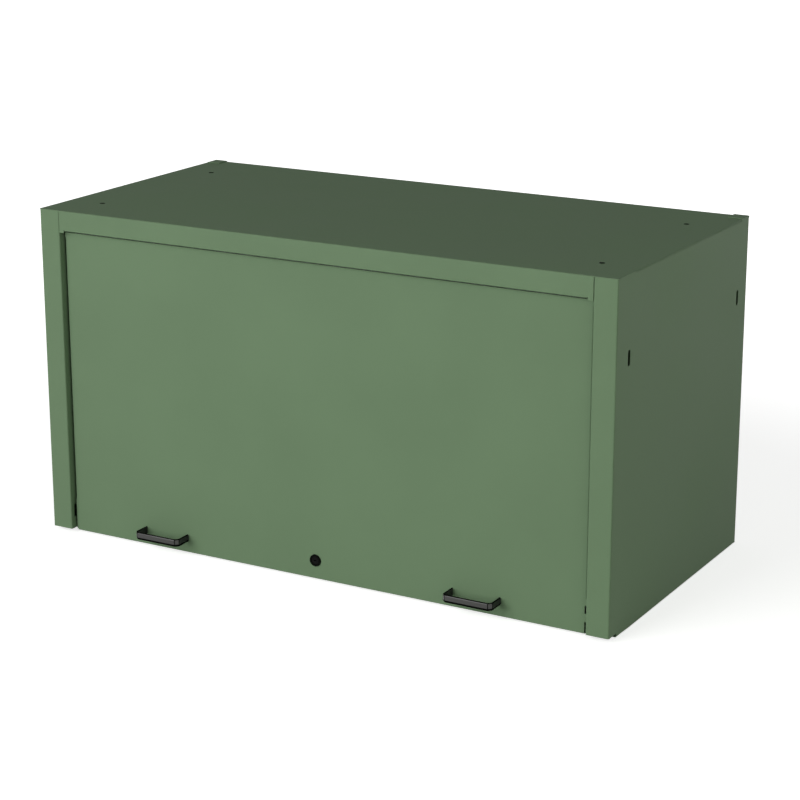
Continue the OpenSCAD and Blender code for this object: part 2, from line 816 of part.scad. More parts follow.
// Outline of the right rod: its bar runs straight out from the high yoke
module rod_right_outline() {
    tip = post_in - rod_tip_gap;
    inner = -pin_x - yoke_w / 2;
    outer = -pin_x + yoke_w / 2;
    low = lock_z + pin_mid - yoke_half;
    high = lock_z + pin_mid + yoke_half;
    bar_low = rod_z - rod_h / 2;
    difference() {
        polygon([
            [inner, low], [outer, low], [outer, bar_low], [tip, bar_low],
            [tip, bar_low + rod_h], [outer, bar_low + rod_h], [outer, high], [inner, high]
        ]);
        yoke_slot(1);
    }
}

// Outline of the left rod: its bar climbs from the low yoke to the same height
module rod_left_outline() {
    tip = post_in - rod_tip_gap;
    inner = pin_x + yoke_w / 2;
    outer = pin_x - yoke_w / 2;
    low = lock_z - pin_mid - yoke_half;
    high = lock_z - pin_mid + yoke_half;
    start_low = lock_z - pin_mid - rod_h / 2;
    bar_low = rod_z - rod_h / 2;
    difference() {
        polygon([
            [inner, low], [outer, low], [outer, start_low], [-jog_in, start_low],
            [-jog_in - jog_l, bar_low], [-tip, bar_low], [-tip, bar_low + rod_h],
            [-jog_in - jog_l, bar_low + rod_h], [-jog_in, start_low + rod_h],
            [outer, start_low + rod_h], [outer, high], [inner, high]
        ]);
        yoke_slot(-1);
    }
}

module lock_rod_right() color(zinc) placed() pushed(rod_front, rod_front + rod_t) rod_right_outline();
module lock_rod_left() color(zinc) placed() pushed(rod_front, rod_front + rod_t) rod_left_outline();

// Nylon blocks between the skin and the rail that the rods slide in
module rod_guides() color(nylon) placed() {
    high = rod_z + rod_h / 2 + play;
    low = rod_z - rod_h / 2 - play;
    for (side = [-1, 1], place = guide_places)
        translate([side * place - guide_w / 2, 0, 0]) difference() {
            block([0, skin_back, low - guide_wall], [guide_w, rail_back - sheet, high + guide_wall]);
            block([-over, rod_front - play, low], [guide_w + over, rod_front + rod_t + play, high]);
        }
}

// Threaded bases in the door's side flanges that the struts' lower studs screw into
module door_stud_bases() color(zinc) placed() {
    for (side = [0, 1]) mirror([side, 0, 0])
        translate([door_half - sheet, lower_y, lower_z]) rotate([0, 90, 0]) {
            translate([0, 0, -stud_base_t]) cylinder(r = stud_base_r, h = stud_base_t);
            cylinder(r = neck_r, h = sheet + stud_end);
        }
}

// A strut's own frame: its upper ball at the origin and its axis up along z towards the lower ball
module strut_frame(side) {
    placed() mirror([side, 0, 0]) translate([strut_x, upper_y, upper_z]) rotate([strut_tilt, 0, 0]) children();
}

// Ball socket: a round head that holds the ball, with a smaller hole for the stud's neck, and its shank.
// The quarter turn keeps the head's seam away from that hole
module socket() {
    difference() {
        rotate(90) {
            sphere(r = socket_r);
            cylinder(r = socket_shank_r, h = socket_l);
            translate([0, 0, socket_l - socket_collar]) cylinder(r = socket_collar_r, h = socket_collar);
        }
        rotate([0, 90, 0]) rotate_extrude()
            ball_and_neck(ball_r + ball_fit, neck_r + play, socket_r + over);
    }
}

module strut_upper_socket(side) color(blacked) strut_frame(side) socket();
module strut_lower_socket(side) color(blacked) strut_frame(side)
    translate([0, 0, strut_l]) rotate([180, 0, 0]) socket();
module strut_upper_socket_right() strut_upper_socket(0);
module strut_upper_socket_left() strut_upper_socket(1);
module strut_lower_socket_right() strut_lower_socket(0);
module strut_lower_socket_left() strut_lower_socket(1);

// Gas cylinder: a tube with a closed upper end
module strut_cylinder(side) color(blacked) strut_frame(side) {
    difference() {
        translate([0, 0, socket_l]) cylinder(r = cylinder_r, h = tube_l);
        translate([0, 0, socket_l + tube_end_t]) cylinder(r = cylinder_r - tube_t, h = tube_l);
    }
}
module strut_cylinder_right() strut_cylinder(0);
module strut_cylinder_left() strut_cylinder(1);

// Guide and seal that close the lower end of the tube round the rod
module strut_guide(side) color(nylon) strut_frame(side) {
    translate([0, 0, socket_l + tube_l - strut_guide_t - strut_guide_gap]) difference() {
        cylinder(r = cylinder_r - tube_t, h = strut_guide_t);
        translate([0, 0, -over]) cylinder(r = strut_rod_r + rod_fit, h = strut_guide_t + 2 * over);
    }
}
module strut_guide_right() strut_guide(0);
module strut_guide_left() strut_guide(1);

// Piston rod from the piston down to the lower socket
module strut_rod(side) color(zinc) strut_frame(side) {
    translate([0, 0, socket_l + tube_l * piston_share])
        cylinder(r = strut_rod_r, h = strut_l - 2 * socket_l - tube_l * piston_share);
}
module strut_rod_right() strut_rod(0);
module strut_rod_left() strut_rod(1);

module strut_piston(side) color(nylon) strut_frame(side) {
    translate([0, 0, socket_l + tube_l * piston_share - piston_t])
        cylinder(r = cylinder_r - tube_t - rod_fit, h = piston_t);
}
module strut_piston_right() strut_piston(0);
module strut_piston_left() strut_piston(1);

// Lower ball stud: it stops a hair short of its base on the door, where the closed linkage is opened
module door_ball_stud(side) color(zinc) placed() mirror([side, 0, 0]) translate([strut_x, lower_y, lower_z])
    ball_stud(door_half - sheet - stud_base_t - play - strut_x, 0, 0);
module door_ball_stud_right() door_ball_stud(0);
module door_ball_stud_left() door_ball_stud(1);

side_panel_left();
side_panel_right();
top_panel();
back_panel();
top_stiffener();
back_screws();
hinge_leaf_fixed();
hinge_pin();
hinge_rivets();
door_stop_brackets();
door_bumpers();
carcass_ball_studs();
door_skin();
door_bottom_rail();
door_stiffeners();
hinge_leaf_moving();
handle_left();
handle_right();
handle_plates();
lock_body();
lock_nut();
rod_guides();
door_stud_bases();
lock_plug();
lock_cam();
cam_screw();
lock_rod_left();
lock_rod_right();
strut_cylinder_left();
strut_cylinder_right();
strut_guide_left();
strut_guide_right();
strut_upper_socket_left();
strut_upper_socket_right();
strut_rod_left();
strut_rod_right();
strut_piston_left();
strut_piston_right();
strut_lower_socket_left();
strut_lower_socket_right();
door_ball_stud_left();
door_ball_stud_right();
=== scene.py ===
import json
import math

import bmesh
import bpy
from mathutils import Matrix, Vector


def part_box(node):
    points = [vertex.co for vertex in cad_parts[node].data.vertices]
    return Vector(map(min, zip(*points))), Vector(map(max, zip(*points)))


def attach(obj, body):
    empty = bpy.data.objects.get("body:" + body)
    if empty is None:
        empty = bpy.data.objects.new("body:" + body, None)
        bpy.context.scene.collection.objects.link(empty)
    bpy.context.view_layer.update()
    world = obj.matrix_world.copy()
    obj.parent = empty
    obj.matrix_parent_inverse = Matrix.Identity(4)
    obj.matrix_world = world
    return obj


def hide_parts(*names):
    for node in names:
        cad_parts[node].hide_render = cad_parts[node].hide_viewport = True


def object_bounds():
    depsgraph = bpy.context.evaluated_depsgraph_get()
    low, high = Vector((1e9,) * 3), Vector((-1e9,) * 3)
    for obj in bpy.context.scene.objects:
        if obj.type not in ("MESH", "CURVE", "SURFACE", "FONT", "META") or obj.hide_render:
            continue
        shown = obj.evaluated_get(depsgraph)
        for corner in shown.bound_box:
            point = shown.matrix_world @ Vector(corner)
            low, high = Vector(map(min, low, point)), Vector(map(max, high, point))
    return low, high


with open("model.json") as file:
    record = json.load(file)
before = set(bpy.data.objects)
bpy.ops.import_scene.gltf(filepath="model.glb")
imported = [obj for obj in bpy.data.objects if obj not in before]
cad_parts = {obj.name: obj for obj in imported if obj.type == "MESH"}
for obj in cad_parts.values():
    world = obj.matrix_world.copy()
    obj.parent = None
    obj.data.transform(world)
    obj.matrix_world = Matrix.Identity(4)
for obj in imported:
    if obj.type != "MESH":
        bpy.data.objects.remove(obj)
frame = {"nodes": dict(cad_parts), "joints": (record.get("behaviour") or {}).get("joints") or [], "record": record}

# The looks of the tool chest hutch: finishes, small turned and bent parts, camera, lamps and floor, in metres
MM = 0.001
CAD_BOX = [list(corner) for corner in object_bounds()]
DOOR_FACE_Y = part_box("door_skin")[0].y

# Points nearer to each other than this count as one
NEAR = 0.001 * MM

# The way from the hutch's front to its rear, along which screws, rivets and the lock's parts lie
REAR = (0, 1, 0)

# Camera: the photograph's viewing angle, with a point of the door's face in the middle of the picture
VIEW_AZIMUTH = math.radians(29.5356)
VIEW_ELEVATION = math.radians(16.2564)
VIEW_DISTANCE = 3.5596
VIEW_X = 0.16182
VIEW_Z = 0.33756
LENS = 100.42
SENSOR = 36.0
CLIP_END = 60.0

# Colours, as linear red, green and blue
GREEN = (0.150, 0.228, 0.133)
BLACK = (0.014, 0.014, 0.015)
# The darkest black serves the lock's rim and the painted shade on a pull's edges; the next is a pull's front,
# lightened as painted light
BLACK_EDGE = (0.003, 0.004, 0.003)
PULL_FACE_PAINTED_LIGHT = (0.026, 0.025, 0.024)
LOCK_FACE = (0.006, 0.006, 0.006)
ZINC = (0.52, 0.53, 0.54)
CHROME = (0.62, 0.62, 0.63)
NYLON = (0.016, 0.016, 0.017)
RUBBER = (0.012, 0.012, 0.012)
WHITE = (1.0, 1.0, 1.0)

# The part of a noise's range that is used, and the samples that round an edge in the shading
NOISE_SPAN = (0.35, 0.65)
EDGE_SAMPLES = 6

# Powder coat: features per metre of its drift, swell and orange peel, and how much each shows
COAT_DRIFT = 5.0
COAT_SWELL = 110.0
COAT_PEEL = 750.0
COAT_TINT = 0.025
COAT_GLOSS = 0.03
COAT_SWELL_DEPTH = 0.05 * MM
COAT_PEEL_DEPTH = 0.03 * MM
COAT_EDGE_R = 0.6 * MM

# Metal: features per metre of its clouds and scratches, and how much each shows
METAL_CLOUD = 60.0
METAL_SCRATCH = 400.0
METAL_TINT = 0.08
METAL_GLOSS = 0.07
METAL_SCRATCH_DEPTH = 0.01 * MM
METAL_EDGE_R = 0.3 * MM

# Nylon and rubber: how much their grain shows
GRAIN_TINT = 0.12
GRAIN_GLOSS = 0.05
GRAIN_SPECULAR = 0.4
GRAIN_DEPTH = 0.04 * MM
GRAIN_EDGE_R = 0.4 * MM

# CAD nodes whose finish is another than their material slot's own
SPECIAL_FINISH = {
    "top_panel": "green_top_painted_hole_shade",
    "strut_rod_left": "chrome_rod",
    "strut_rod_right": "chrome_rod",
}

# Bolt holes of the top, from the record: half their spacing, their middle, and the painted shade on their walls,
# which reaches a little onto the top round each hole
TOP_HOLES = next(mount for mount in frame["record"]["mounts"] if mount["name"] == "top_holes")
HOLE_HALF_X = TOP_HOLES["dims"]["spacing_x_mm"] / 2 * MM
HOLE_HALF_Y = TOP_HOLES["dims"]["spacing_y_mm"] / 2 * MM
HOLE_MIDDLE_Y = TOP_HOLES["pos_m"][1]
HOLE_PAINTED_SHADE_REACH = 0.6 * MM
HOLE_PAINTED_SHADE_R = TOP_HOLES["dims"]["hole_r_mm"] * MM + HOLE_PAINTED_SHADE_REACH
HOLE_PAINTED_SHADE = 0.06

# Edges sharper than these angles, in degrees, stay sharp in the shading
SHARP_FASTENER = 35
SHARP_TURNED = 40
SHARP_PULL = 50

# Turned parts: steps of a dome's arc, segments of the lock, and the middle point of a rounded rim
DOME_STEPS = 6
LOCK_SEGMENTS = 72
ROUND_SHARE = 0.3

# Pull handles: a strip bent to a U with its corners cut off, whose tabs are peened over behind the door
PULL_LENGTH = 90.0 * MM
PULL_STRIP = 3.0 * MM
PULL_CUT = 6.0 * MM
PULL_CREASE = 0.8 * MM
PULL_TAB_STEP = 2.0 * MM
PULL_PEEN = 1.2 * MM
PULL_PEEN_SOFT = 0.6 * PULL_PEEN

# Roundings of a pull's edges, each by its depth and its height, and how much of the upper one is painted dark as
# shade
PULL_UNDER = Vector((2.2, 4.2)) * MM
PULL_OVER = Vector((1.6, 3.2)) * MM
PULL_INNER = Vector((0.7, 0.7)) * MM
PULL_TOP_BAND = 1.2 * MM
PULL_STEPS = 7

# A pull's three finishes by their place in its list: plain, painted shade on its edges, and its front lightened as
# painted light; and the walls and corners of a ring of its strip
PLAIN, PULL_PAINTED_SHADE, PULL_PAINTED_LIGHT = range(3)
OUTER_WALLS = range(5)
FRONT_WALLS = range(1, 4)
FRONT_CORNERS = range(1, 5)

# Fasteners: height of each head and its straight rim's share, radius of each shank and its tip's share
SCREW_HEAD = 2.4 * MM
SCREW_SHANK_R = 1.9 * MM
CAM_SCREW_HEAD = 2.4 * MM
CAM_SCREW_SHANK_R = 1.5 * MM
SCREW_RIM_SHARE = 0.35
SHANK_TIP_SHARE = 0.3
RIVET_HEAD = 1.0 * MM
RIVET_SHANK_R = 1.6 * MM
RIVET_RIM_SHARE = 0.2

# The cross in a screw's head, in shares of the head's radius and height, and how it narrows to its floor
CROSS_ARM_SHARE = 0.62
CROSS_HALF_SHARE = 0.13
CROSS_DEPTH_SHARE = 0.7
CROSS_TOP_SHARE = 1.2
CROSS_TAPER = 0.45

# Door bumpers: pad, stem and knob, and the points of their roundings in shares of radius and height
PAD = 2.4 * MM
STEM_R = 2.5 * MM
KNOB_R = 3.6 * MM
KNOB = 2.0 * MM
PAD_ROUNDING = ((0.75, 0.0), (0.93, 0.12), (1.0, 0.4), (1.0, 1.0))
KNOB_ROUNDING = ((1.0, 1.0), (0.9, 0.4), (0.5, 0.0))

# Lock: its ring with a shallow recess, the barrel behind the ring, and the key plug inside
RING_T = 2.2 * MM
RING_SOFT = 0.7 * MM
BARREL_R = 9.4 * MM
RECESS_R = 7.6 * MM
RECESS = 0.8 * MM
RECESS_LIP = 0.42 * MM
RECESS_LIP_DEPTH = 0.28 * MM
RECESS_FILLET = 0.35 * MM
RECESS_FILLET_DEPTH = 0.48 * MM
PLUG_R = 6.5 * MM
PLUG_SOFT = 0.3 * MM
PLUG_PLAY = 0.05 * MM

# The key slot's width, depth and height, and the square that drives the cam
KEY_SLOT = Vector((6.0, 5.0, 1.6)) * MM
DRIVE_SQUARE = 7.0 * MM
DRIVE_T = 2.0 * MM

# Gas struts, along the axis from the upper ball, and the rolled rim's points in shares of its rounding
TUBE_START = 14.0 * MM
TUBE_R = 7.5 * MM
TUBE_WALL = 1.0 * MM
TUBE_CAP = 4.0 * MM
TUBE_SOFT = 1.2 * MM
TUBE_GROOVE = 12.0 * MM
GROOVE_R = 0.5 * MM
ROLLED_RIM = ((0.0, 0.6), (0.25, 0.15), (0.6, 0.0))

# Light: the world's even part, a large soft lamp in front, and weaker ones at the right and behind
AMBIENT = 0.180
HORIZON_FADE = 0.15
LAMP_AIM = Vector((0, DOOR_FACE_Y, 0.3))
KEY_POWER = 352.0
KEY_SIZE = 5.0
KEY_PLACE = Vector((-2.8, -5.9, 2.6))
FILL_POWER = 25.5
FILL_SIZE = 2.5
FILL_PLACE = Vector((3.5, -1.9, 1.3))
FILL_TINT = (0.94, 1.0, 0.83)
REAR_POWER = 55.0
REAR_SIZE = 1.6
REAR_PLACE = Vector((0.5, 5.0, 0.6))

# Floor: its grey, its glow near the hutch and far from it, and the distances between which that changes
FLOOR_GREY = 0.80
FLOOR_GLOW = (0.70, 1.0)
FLOOR_FADE = (0.9, 2.2)
FLOOR_REACH = 30.0

# Under the hutch the floor doesn't glow: its side and rear limits, and where the glow ends in front
COVERED_HALF_X = CAD_BOX[1][0] - 0.5 * MM
COVERED_BACK = CAD_BOX[1][1] - 1.85 * MM
COVERED_FRONT = (-0.212, -0.18)


def noise(tree, scale, detail, stretch=(1.0, 1.0, 1.0)):
    """Noise in the piece's own space, with its scale in features per metre."""
    place = tree.nodes.new("ShaderNodeTexCoord")
    mapping = tree.nodes.new("ShaderNodeMapping")
    mapping.inputs["Scale"].default_value = stretch
    texture = tree.nodes.new("ShaderNodeTexNoise")
    texture.inputs["Scale"].default_value = scale
    texture.inputs["Detail"].default_value = detail
    tree.links.new(place.outputs["Object"], mapping.inputs["Vector"])
    tree.links.new(mapping.outputs["Vector"], texture.inputs["Vector"])
    return texture.outputs["Fac"]


def faded(tree, source, span, values):
    """A value that runs from one level to another while its source crosses a span."""
    node = tree.nodes.new("ShaderNodeMapRange")
    node.inputs["From Min"].default_value, node.inputs["From Max"].default_value = span
    node.inputs["To Min"].default_value, node.inputs["To Max"].default_value = values
    tree.links.new(source, node.inputs["Value"])
    return node.outputs["Result"]


def drifting(tree, source, middle, drift):
    """A value that drifts around its middle with a noise."""
    return faded(tree, source, NOISE_SPAN, (middle - drift, middle + drift))


def tinted(tree, source, colour, spread):
    """A colour that drifts around its mean by a share of itself."""
    ramp = tree.nodes.new("ShaderNodeValToRGB")
    low, high = ramp.color_ramp.elements
    low.position, high.position = NOISE_SPAN
    low.color = (*[c * (1 - spread) for c in colour], 1)
    high.color = (*[c * (1 + spread) for c in colour], 1)
    tree.links.new(source, ramp.inputs["Fac"])
    return ramp.outputs["Color"]


def bump(tree, source, distance, strength, under):
    """Relief from a height, over another relief."""
    node = tree.nodes.new("ShaderNodeBump")
    node.inputs["Distance"].default_value = distance
    node.inputs["Strength"].default_value = strength
    tree.links.new(source, node.inputs["Height"])
    tree.links.new(under, node.inputs["Normal"])
    return node.outputs["Normal"]


def soft_edges(tree, radius):
    """The small rounding that a real edge has."""
    node = tree.nodes.new("ShaderNodeBevel")
    node.samples = EDGE_SAMPLES
    node.inputs["Radius"].default_value = radius
    return node.outputs["Normal"]


def math_node(tree, operation, first, second=0.0):
    """A math node fed by two values, each of them a source or a number."""
    node = tree.nodes.new("ShaderNodeMath")
    node.operation = operation
    for socket, value in zip(node.inputs, (first, second)):
        if isinstance(value, (int, float)):
            socket.default_value = value
        else:
            tree.links.new(value, socket)
    return node.outputs[0]


def vector_length(tree, source):
    """The length of a vector."""
    node = tree.nodes.new("ShaderNodeVectorMath")
    node.operation = "LENGTH"
    tree.links.new(source, node.inputs[0])
    return node.outputs["Value"]


def separated(tree, source):
    """The X, Y and Z of a vector, by their names."""
    node = tree.nodes.new("ShaderNodeSeparateXYZ")
    tree.links.new(source, node.inputs["Vector"])
    return node.outputs


def holes_with_painted_shade(tree, colour):
    """A colour darkened as painted shade on the walls of the top's four bolt holes, reaching a little onto the top
    round each.
    """
    place = separated(tree, tree.nodes.new("ShaderNodeTexCoord").outputs["Object"])
    along = math_node(tree, "ABSOLUTE", place["X"])
    across = math_node(tree, "ABSOLUTE", math_node(tree, "SUBTRACT", place["Y"], HOLE_MIDDLE_Y))
    offset = tree.nodes.new("ShaderNodeCombineXYZ")
    tree.links.new(math_node(tree, "SUBTRACT", along, HOLE_HALF_X), offset.inputs["X"])
    tree.links.new(math_node(tree, "SUBTRACT", across, HOLE_HALF_Y), offset.inputs["Y"])
    distance = vector_length(tree, offset.outputs["Vector"])
    open_face = math_node(tree, "GREATER_THAN", distance, HOLE_PAINTED_SHADE_R)
    painted_dark = tree.nodes.new("ShaderNodeVectorMath")
    painted_dark.operation = "SCALE"
    tree.links.new(colour, painted_dark.inputs[0])
    tree.links.new(math_node(tree, "MAXIMUM", open_face, HOLE_PAINTED_SHADE), painted_dark.inputs["Scale"])
    return painted_dark.outputs["Vector"]


def new_material(name):
    """A new material, its node tree and its shader."""
    made = bpy.data.materials.new(name)
    made.use_nodes = True
    tree = made.node_tree
    return made, tree, tree.nodes["Principled BSDF"]


def powder_coat(name, colour, roughness, specular, with_painted_hole_shade=False):
    """Baked powder coat: fine orange peel, a faint drift of tone and gloss, and rounded paint edges; where asked,
    painted shade on the walls of the top's bolt holes.
    """
    made, tree, shader = new_material(name)
    drift = noise(tree, COAT_DRIFT, detail=3.0)
    peel = noise(tree, COAT_PEEL, detail=2.0)
    swell = noise(tree, COAT_SWELL, detail=1.0)
    tone = tinted(tree, drift, colour, COAT_TINT)
    tree.links.new(holes_with_painted_shade(tree, tone) if with_painted_hole_shade else tone, shader.inputs["Base Color"])
    tree.links.new(drifting(tree, drift, roughness, COAT_GLOSS), shader.inputs["Roughness"])
    shader.inputs["Specular IOR Level"].default_value = specular
    edges = soft_edges(tree, COAT_EDGE_R)
    wavy = bump(tree, swell, COAT_SWELL_DEPTH, strength=0.25, under=edges)
    tree.links.new(bump(tree, peel, COAT_PEEL_DEPTH, strength=0.5, under=wavy), shader.inputs["Normal"])
    return made


def metal(name, colour, roughness, brushing):
    """Zinc plate or ground steel: metal with fine scratches along one way and cloudy patches."""
    made, tree, shader = new_material(name)
    cloud = noise(tree, METAL_CLOUD, detail=3.0)
    scratch = noise(tree, METAL_SCRATCH, detail=3.0, stretch=brushing)
    tree.links.new(tinted(tree, cloud, colour, METAL_TINT), shader.inputs["Base Color"])
    tree.links.new(drifting(tree, scratch, roughness, METAL_GLOSS), shader.inputs["Roughness"])
    shader.inputs["Metallic"].default_value = 1.0
    edges = soft_edges(tree, METAL_EDGE_R)
    relief = bump(tree, scratch, METAL_SCRATCH_DEPTH, strength=0.4, under=edges)
    tree.links.new(relief, shader.inputs["Normal"])
    return made


def moulded(name, colour, roughness, grain):
    """Moulded nylon or rubber: a matte skin with a fine grain."""
    made, tree, shader = new_material(name)
    fine = noise(tree, grain, detail=2.0)
    tree.links.new(tinted(tree, fine, colour, GRAIN_TINT), shader.inputs["Base Color"])
    tree.links.new(drifting(tree, fine, roughness, GRAIN_GLOSS), shader.inputs["Roughness"])
    shader.inputs["Specular IOR Level"].default_value = GRAIN_SPECULAR
    edges = soft_edges(tree, GRAIN_EDGE_R)
    tree.links.new(bump(tree, fine, GRAIN_DEPTH, strength=0.4, under=edges), shader.inputs["Normal"])
    return made


def make_materials():
    """One material per kind of surface."""
    green = {"colour": GREEN, "roughness": 0.45, "specular": 0.04}
    return {
        "green_paint": powder_coat("green_powder_coat", **green),
        # The top's coat, with painted shade on the walls of its bolt holes
        "green_top_painted_hole_shade": powder_coat("green_powder_coat_top_painted_hole_shade", **green, with_painted_hole_shade=True),
        "black_finish": powder_coat("black_powder_coat", BLACK, roughness=0.38, specular=0.45),
        # A pull's edges: the black darkened and without reflection, as painted shade; its front: the black
        # lightened and glossier, as painted light
        "black_painted_shade": powder_coat("black_rounded_edges_painted_shade", BLACK_EDGE, roughness=0.6, specular=0.0),
        "pull_face_painted_light": powder_coat("black_face_painted_light", PULL_FACE_PAINTED_LIGHT, roughness=0.30, specular=0.55),
        "lock_rim": powder_coat("lock_rim_black", BLACK_EDGE, roughness=0.5, specular=0.02),
        "lock_face": powder_coat("lock_face_black", LOCK_FACE, roughness=0.5, specular=0.04),
        "zinc_steel": metal("zinc_plate", ZINC, roughness=0.34, brushing=(1.0, 1.0, 6.0)),
        "chrome_rod": metal("ground_rod", CHROME, roughness=0.12, brushing=(1.0, 1.0, 0.2)),
        "black_nylon": moulded("black_nylon", NYLON, roughness=0.5, grain=900.0),
        "rubber": moulded("black_rubber", RUBBER, roughness=0.75, grain=1200.0),
    }


def paint(piece, made):
    """One material over the whole of a piece."""
    piece.data.materials.clear()
    piece.data.materials.append(made)


def dress_nodes(materials):
    """Each CAD node takes the finish of its material slot, or its special one."""
    for entry in frame["record"]["subparts"]:
        node = entry["node"]
        paint(frame["nodes"][node], materials[SPECIAL_FINISH.get(node, entry["material_slot"])])


def as_mesh(name, mesh_code):
    """A mesh from mesh code, which is used up."""
    data = bpy.data.meshes.new(name)
    mesh_code.to_mesh(data)
    mesh_code.free()
    return data


def linked(name, data):
    """A new object in the scene."""
    made = bpy.data.objects.new(name, data)
    bpy.context.scene.collection.objects.link(made)
    return made


def smooth_by_angle(data, degrees):
    """Smooth shading but for edges sharper than the angle."""
    for face in data.polygons:
        face.use_smooth = True
    mesh_code = bmesh.new()
    mesh_code.from_mesh(data)
    for edge in mesh_code.edges:
        edge.smooth = not (edge.is_manifold and edge.calc_face_angle(0.0) > math.radians(degrees))
    mesh_code.to_mesh(data)
    mesh_code.free()


def make_piece(name, mesh_code, finishes, body, node, sharp):
    """Turns mesh code into a piece that rides on its body and stands for a CAD node."""
    piece = linked(name, as_mesh(name, mesh_code))
    for finish in finishes:
        piece.data.materials.append(finish)
    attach(piece, body)
    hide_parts(node)
    smooth_by_angle(piece.data, sharp)


def bevel_edges(mesh_code, edges, width, segments, material=-1):
    """Rounds the given edges, with a material of their own where one is named."""
    bmesh.ops.bevel(mesh_code, geom=edges, offset=width, offset_type="OFFSET", segments=segments,
                    profile=0.5, affect="EDGES", material=material)


def add_box(mesh_code, low, high):
    """A closed box between two corners."""
    made = bmesh.ops.create_cube(mesh_code, size=1.0)["verts"]
    for vert in made:
        vert.co = Vector([low[k] if vert.co[k] < 0 else high[k] for k in range(3)])
    return made


def bridge(mesh_code, under, over):
    """Closes two like outlines into a solid."""
    mesh_code.faces.new(reversed(under))
    mesh_code.faces.new(over)
    for i in range(len(under)):
        j = (i + 1) % len(under)
        mesh_code.faces.new((under[i], under[j], over[j], over[i]))
    bmesh.ops.recalc_face_normals(mesh_code, faces=mesh_code.faces[:])


def lathe(profile, closed=False, segments=56):
    """Turns points of radius and height round Z. An open profile starts and ends on the axis."""
    mesh_code = bmesh.new()
    turns = [2 * math.pi * i / segments for i in range(segments)]
    rings = []
    for radius, height in profile:
        angles = turns if radius else turns[:1]
        points = [(radius * math.cos(t), radius * math.sin(t), height) for t in angles]
        rings.append([mesh_code.verts.new(point) for point in points])
    following = rings[1:] + rings[:1] if closed else rings[1:]
    for near, far in zip(rings, following):
        for i in range(segments):
            j = (i + 1) % segments
            corners = [near[i % len(near)], near[j % len(near)], far[j % len(far)], far[i % len(far)]]
            mesh_code.faces.new(list(dict.fromkeys(corners)))
    bmesh.ops.recalc_face_normals(mesh_code, faces=mesh_code.faces[:])
    return mesh_code


def rounded_rim(radius, soft):
    """Profile of a rounded outer edge that starts at height 0."""
    return [(radius - soft, 0.0), (radius - soft * ROUND_SHARE, soft * ROUND_SHARE), (radius, soft)]


def dome(radius, rim, height):
    """Profile of a low dome on a short straight rim, from the rim's foot up to the axis."""
    arc = [math.pi / 2 * i / DOME_STEPS for i in range(DOME_STEPS)]
    curve = [(radius * math.cos(t), rim + (height - rim) * math.sin(t)) for t in arc]
    return [(radius, 0.0), *curve, (0.0, height)]


def carved(data, tool):
    """A mesh with another one cut out of it. Both are used up."""
    body, knife = linked("carve_body", data), linked("carve_knife", tool)
    cut = body.modifiers.new("cut", "BOOLEAN")
    cut.operation = "DIFFERENCE"
    cut.solver = "EXACT"
    cut.object = knife
    bpy.context.view_layer.update()
    made = bpy.data.meshes.new_from_object(body.evaluated_get(bpy.context.evaluated_depsgraph_get()))
    for each in (body, knife):
        bpy.data.objects.remove(each)
    for each in (data, tool):
        bpy.data.meshes.remove(each)
    return made


def islands(node):
    """The low and high corners of each separate solid of a CAD node, in a fixed order."""
    mesh_code = bmesh.new()
    mesh_code.from_mesh(frame["nodes"][node].data)
    bmesh.ops.remove_doubles(mesh_code, verts=mesh_code.verts[:], dist=NEAR)
    waiting, boxes = set(mesh_code.verts), []
    while waiting:
        found = [waiting.pop()]
        for vert in found:
            near = {edge.other_vert(vert) for edge in vert.link_edges} & waiting
            waiting -= near
            found.extend(near)
        corners = [[vert.co[k] for vert in found] for k in range(3)]
        boxes.append(([min(c) for c in corners], [max(c) for c in corners]))
    mesh_code.free()
    return [(Vector(low), Vector(high)) for low, high in sorted(boxes)]


def copies(unit, places):
    """Mesh code that holds a unit mesh once at each place."""
    mesh_code = bmesh.new()
    for place in places:
        start = len(mesh_code.verts)
        mesh_code.from_mesh(unit)
        bmesh.ops.transform(mesh_code, matrix=place, verts=mesh_code.verts[start:])
    bpy.data.meshes.remove(unit)
    return mesh_code


def facing(place, direction):
    """The matrix that sets a unit at a place with its Z along a direction."""
    turn = Vector(direction).to_track_quat("Z", "Y").to_matrix().to_4x4()
    return Matrix.Translation(place) @ turn


def in_box(low, high, y):
    """The matrix that sets a unit on a box's middle line at a depth, with its Z to the rear."""
    return facing(((low.x + high.x) / 2, y, (low.z + high.z) / 2), REAR)


def cross_outline(arm, half):
    """The outline of a cross, by the length of its arms and half their width."""
    corners = [(arm, -half), (arm, half), (half, half)]
    outline = []
    for _ in range(4):
        outline += corners
        corners = [(-y, x) for x, y in corners]
    return outline


def cross_screw(head_r, head_h, shank_r, length):
    """A pan-head screw with a cross in its head. Its seat is at the origin and its head up along Z."""
    tip = shank_r * SHANK_TIP_SHARE
    shank = [(0.0, -length), (shank_r - tip, -length), (shank_r, tip - length), (shank_r, 0.0)]
    screw = lathe(shank + dome(head_r, head_h * SCREW_RIM_SHARE, head_h))
    outline = cross_outline(head_r * CROSS_ARM_SHARE, head_r * CROSS_HALF_SHARE)
    floor, top = head_h * (1 - CROSS_DEPTH_SHARE), head_h * CROSS_TOP_SHARE
    knife = bmesh.new()
    under = [knife.verts.new((x * CROSS_TAPER, y * CROSS_TAPER, floor)) for x, y in outline]
    over = [knife.verts.new((x, y, top)) for x, y in outline]
    bridge(knife, under, over)
    return carved(as_mesh("screw", screw), as_mesh("knife", knife))


